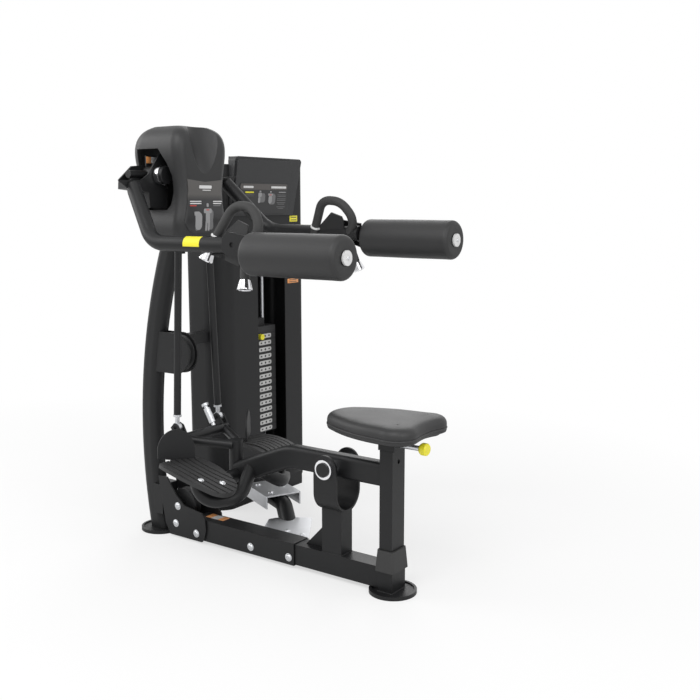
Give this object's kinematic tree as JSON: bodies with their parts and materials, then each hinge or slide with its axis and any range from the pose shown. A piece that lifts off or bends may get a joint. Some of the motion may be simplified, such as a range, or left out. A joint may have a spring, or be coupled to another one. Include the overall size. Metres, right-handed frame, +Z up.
{
  "type": "lateral raise machine",
  "caption": "Lateral raise machine: a rocking seat beam and footboards, swinging arms with roller pads and grips, and a weight stack in a side tower.",
  "frame": {"origin": "middle of the mast foot's underside, on the floor", "axes": "+X from the mast to the seat, +Y to the seated user's right where the weight tower stands, +Z up"},
  "size_m": [1.245, 1.113, 1.448],
  "materials": {
    "black_paint": "satin powder coat",
    "casing_plastic": "moulded, fine satin grain",
    "console_plastic": "moulded, satin",
    "upholstery": "grained vinyl",
    "roller_skin": "fine grained foam skin",
    "rubber_black": "matt",
    "tread_rubber": "ribbed matt",
    "chrome": "polished",
    "zinc": "bright zinc plate",
    "rod_steel": "ground",
    "placard": "printed film",
    "white_plastic": "gloss",
    "yellow_plastic": "gloss",
    "plate_iron": "painted"
  },
  "bodies": {
    "frame": {"mast": "black_paint", "mast_foot": "black_paint", "front_foot": "black_paint", "rail_sleeve": "black_paint", "rail_front": "black_paint", "side_gussets": "black_paint", "base_bolts": "zinc", "mast_brackets": "black_paint", "upright": "black_paint", "yoke": "black_paint", "pivot_shaft": "chrome", "front_post": "black_paint", "boot": "rubber_black", "head_frame": "black_paint", "casing_front": "casing_plastic", "casing_rear": "casing_plastic", "head_placard": "placard", "shroud": "black_paint", "console": "console_plastic", "console_placard": "placard", "guide_rods": "rod_steel", "stack_plates": "plate_iron", "tower_base": "black_paint", "link_tube": "black_paint", "link_plates": "zinc"},
    "rocker": {"beam": "black_paint", "pivot_sleeve": "chrome", "tread_left": "tread_rubber", "tread_right": "tread_rubber", "tread_carrier": "black_paint", "toe_shields": "black_paint", "seat_post": "black_paint"},
    "seat": {"seat_cushion": "upholstery", "seat_carriage": "black_paint"},
    "seat_pin": {"seat_knob_rod": "zinc", "seat_knob": "yellow_plastic"},
    "stack_lift": {"lifted_plates": "plate_iron", "lift_belt": "rubber_black"},
    "selector": {"selector_pin": "yellow_plastic"},
    "base_wheel": {"base_pulley": "casing_plastic"},
    "mid_wheel": {"mid_pulley": "casing_plastic"},
    "release_pin": {"pull_pin": "zinc"},
    "arm_left": {"arm_bracket_left": "black_paint", "hub_shaft_left": "chrome", "arm_tube_left": "black_paint", "grip_left": "rubber_black", "grip_caps_left": "chrome", "pad_cap_left": "white_plastic"},
    "pad_left": {"roller_pad_left": "roller_skin"},
    "rod_left": {"push_rod_left": "black_paint", "rod_end_left": "zinc"},
    "arm_right": {"arm_bracket_right": "black_paint", "hub_shaft_right": "chrome", "arm_tube_right": "black_paint", "grip_right": "rubber_black", "grip_caps_right": "chrome", "pad_cap_right": "white_plastic"},
    "pad_right": {"roller_pad_right": "roller_skin"},
    "rod_right": {"push_rod_right": "black_paint", "rod_end_right": "zinc"}
  },
  "joints": [
    {"name": "arm_left_raise", "type": "hinge", "parent": "frame", "child": "arm_left", "pos_m": [0.114, -0.1, 1.287], "axis": [-1, 0, 0], "range_deg": [0, 56]},
    {"name": "arm_right_raise", "type": "hinge", "parent": "frame", "child": "arm_right", "pos_m": [0.114, 0.1, 1.287], "axis": [1, 0, 0], "range_deg": [0, 56]},
    {"name": "rocker_tilt", "type": "hinge", "parent": "frame", "child": "rocker", "pos_m": [0.805, 0, 0.372], "axis": [0, -1, 0], "range_deg": [0, 4.62]},
    {"name": "rod_left_swing", "type": "hinge", "parent": "rocker", "child": "rod_left", "pos_m": [0.199, -0.1025, 0.43], "axis": [0, -1, 0], "range_deg": [-4.62, 0]},
    {"name": "rod_right_swing", "type": "hinge", "parent": "rocker", "child": "rod_right", "pos_m": [0.199, 0.1025, 0.43], "axis": [0, -1, 0], "range_deg": [-4.62, 0]},
    {"name": "seat_height", "type": "slide", "parent": "rocker", "child": "seat", "axis": [0, 0, 1], "range_m": [0, 0.12]},
    {"name": "seat_pin_pull", "type": "slide", "parent": "seat", "child": "seat_pin", "axis": [1, 0, 0], "range_m": [0, 0.012], "stiffness_N_per_m": 600, "springref_m": -0.005},
    {"name": "pad_left_roll", "type": "hinge", "parent": "arm_left", "child": "pad_left", "pos_m": [0.875, -0.286, 1.05], "axis": [1, 0, 0], "continuous": true},
    {"name": "pad_right_roll", "type": "hinge", "parent": "arm_right", "child": "pad_right", "pos_m": [0.875, 0.31717, 1.07819], "axis": [1, 0, 0], "continuous": true},
    {"name": "stack_raise", "type": "slide", "parent": "frame", "child": "stack_lift", "axis": [0, 0, 1], "range_m": [0, 0.25], "deforming": ["lift_belt"]},
    {"name": "selector_pull", "type": "slide", "parent": "stack_lift", "child": "selector", "axis": [1, 0, 0], "range_m": [0, 0.05]},
    {"name": "base_pulley_spin", "type": "hinge", "parent": "frame", "child": "base_wheel", "pos_m": [0.13, 0, 0.119], "axis": [0, 1, 0], "continuous": true},
    {"name": "mid_pulley_spin", "type": "hinge", "parent": "frame", "child": "mid_wheel", "pos_m": [0.112, 0, 0.669], "axis": [0, 1, 0], "continuous": true},
    {"name": "release_pin_lift", "type": "slide", "parent": "rocker", "child": "release_pin", "axis": [-0.5, 0, 0.866], "range_m": [0, 0.015], "stiffness_N_per_m": 500, "springref_m": -0.004}
  ],
  "couplings": [
    {"joint": "arm_right_raise", "follows": "arm_left_raise", "ratio": 1},
    {"joint": "rocker_tilt", "follows": "arm_left_raise", "ratio": 0.0825},
    {"joint": "rod_left_swing", "follows": "arm_left_raise", "ratio": -0.0825},
    {"joint": "rod_right_swing", "follows": "arm_left_raise", "ratio": -0.0825},
    {"joint": "stack_raise", "follows": "arm_left_raise", "m_per_rad": 0.17189}
  ]
}
